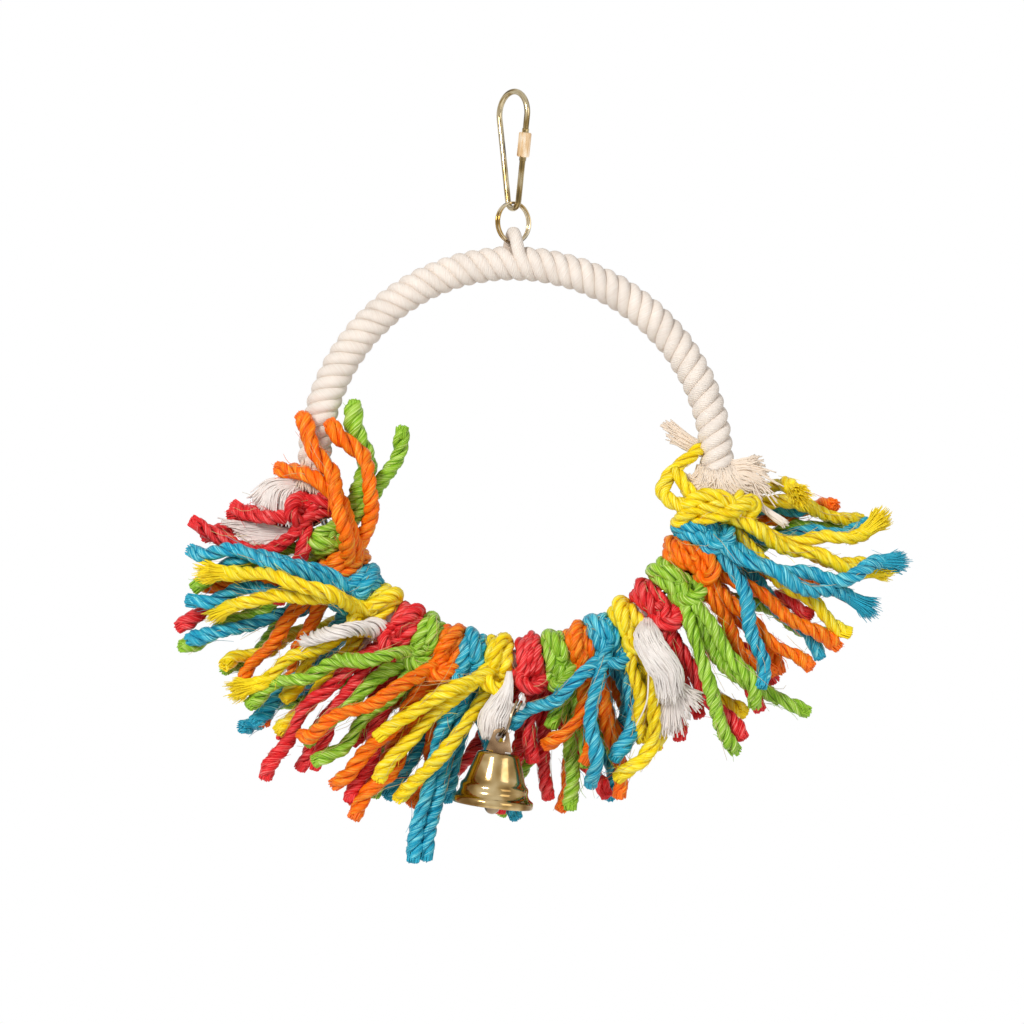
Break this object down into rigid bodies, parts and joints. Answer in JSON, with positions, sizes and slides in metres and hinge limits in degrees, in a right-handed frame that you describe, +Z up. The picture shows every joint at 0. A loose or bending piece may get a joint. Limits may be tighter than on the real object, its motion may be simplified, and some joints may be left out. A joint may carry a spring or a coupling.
{
  "type": "rope bird swing",
  "caption": "Hanging ring swing for cage birds: rope-wrapped hoop with a fringe of knotted coloured twine, a small bell at the bottom and a quick link to hang it by.",
  "frame": {"origin": "the inside of the quick link's crown, where the swing hangs", "axes": "+Z up, the hoop stands in the XZ plane and its front with the bell faces -Y"},
  "size_m": [0.2933, 0.0753, 0.3157],
  "materials": {
    "link_metal": "dull brassy nickel plate",
    "nut_metal": "pale brass plate",
    "ring_metal": "bright plated wire",
    "hoop_metal": "plain drawn steel wire",
    "white_cotton": "undyed soft cotton",
    "yellow_sisal": "dyed sisal twine, slightly glossy",
    "blue_sisal": "dyed sisal twine, slightly glossy",
    "orange_sisal": "dyed sisal twine, slightly glossy",
    "green_sisal": "dyed sisal twine, slightly glossy",
    "red_sisal": "dyed sisal twine, slightly glossy",
    "bell_ring_metal": "dark plated wire",
    "bell_brass": "polished brass plate"
  },
  "bodies": {
    "link": {"link_body": "link_metal"},
    "nut": {"sleeve_nut": "nut_metal"},
    "ring": {"hanger_ring": "ring_metal"},
    "hoop": {"hoop_wire": "hoop_metal", "cotton_rope": "white_cotton", "tie_01_yellow": "yellow_sisal", "tie_02_blue": "blue_sisal", "tie_03_orange": "orange_sisal", "tie_04_green": "green_sisal", "tie_05_red": "red_sisal", "tie_06_cotton": "white_cotton", "tie_07_yellow": "yellow_sisal", "tie_08_blue": "blue_sisal", "tie_09_orange": "orange_sisal", "tie_10_green": "green_sisal", "tie_11_red": "red_sisal", "tie_12_cotton": "white_cotton", "tie_13_yellow": "yellow_sisal", "tie_14_blue": "blue_sisal", "tie_15_orange": "orange_sisal", "tie_16_green": "green_sisal", "tie_17_red": "red_sisal", "tie_18_cotton": "white_cotton", "tie_19_yellow": "yellow_sisal", "tie_20_blue": "blue_sisal", "tie_21_orange": "orange_sisal", "tie_22_green": "green_sisal", "tie_23_red": "red_sisal", "tie_24_cotton": "white_cotton"},
    "bell_ring": {"bell_ring": "bell_ring_metal"},
    "bell": {"bell_shell": "bell_brass", "bell_hanger": "bell_brass"},
    "clapper": {"clapper": "bell_ring_metal"}
  },
  "joints": [
    {"name": "nut_slide", "type": "slide", "parent": "link", "child": "nut", "axis": [-0.1004, 0.124, -0.9872], "range_m": [0, 0.0085]},
    {"name": "ring_swing", "type": "hinge", "parent": "link", "child": "ring", "pos_m": [0, 0, -0.04662], "axis": [0.6293, -0.7771, 0], "range_deg": [-40, 40]},
    {"name": "hoop_swing", "type": "hinge", "parent": "ring", "child": "hoop", "pos_m": [0, 0, -0.0607], "axis": [0.7771, 0.6293, 0], "range_deg": [-25, 25]},
    {"name": "bell_ring_swing", "type": "hinge", "parent": "hoop", "child": "bell_ring", "pos_m": [0.00127, -0.015, -0.24985], "axis": [-0.8829, 0, 0.4695], "range_deg": [0, 40]},
    {"name": "bell_swing", "type": "hinge", "parent": "bell_ring", "child": "bell", "pos_m": [-0.00512, -0.01812, -0.26187], "axis": [0, 1, 0], "range_deg": [-12, 12]},
    {"name": "clapper_swing", "type": "hinge", "parent": "bell", "child": "clapper", "pos_m": [-0.00631, -0.01812, -0.27156], "axis": [0, 1, 0], "range_deg": [-35, 35]}
  ]
}
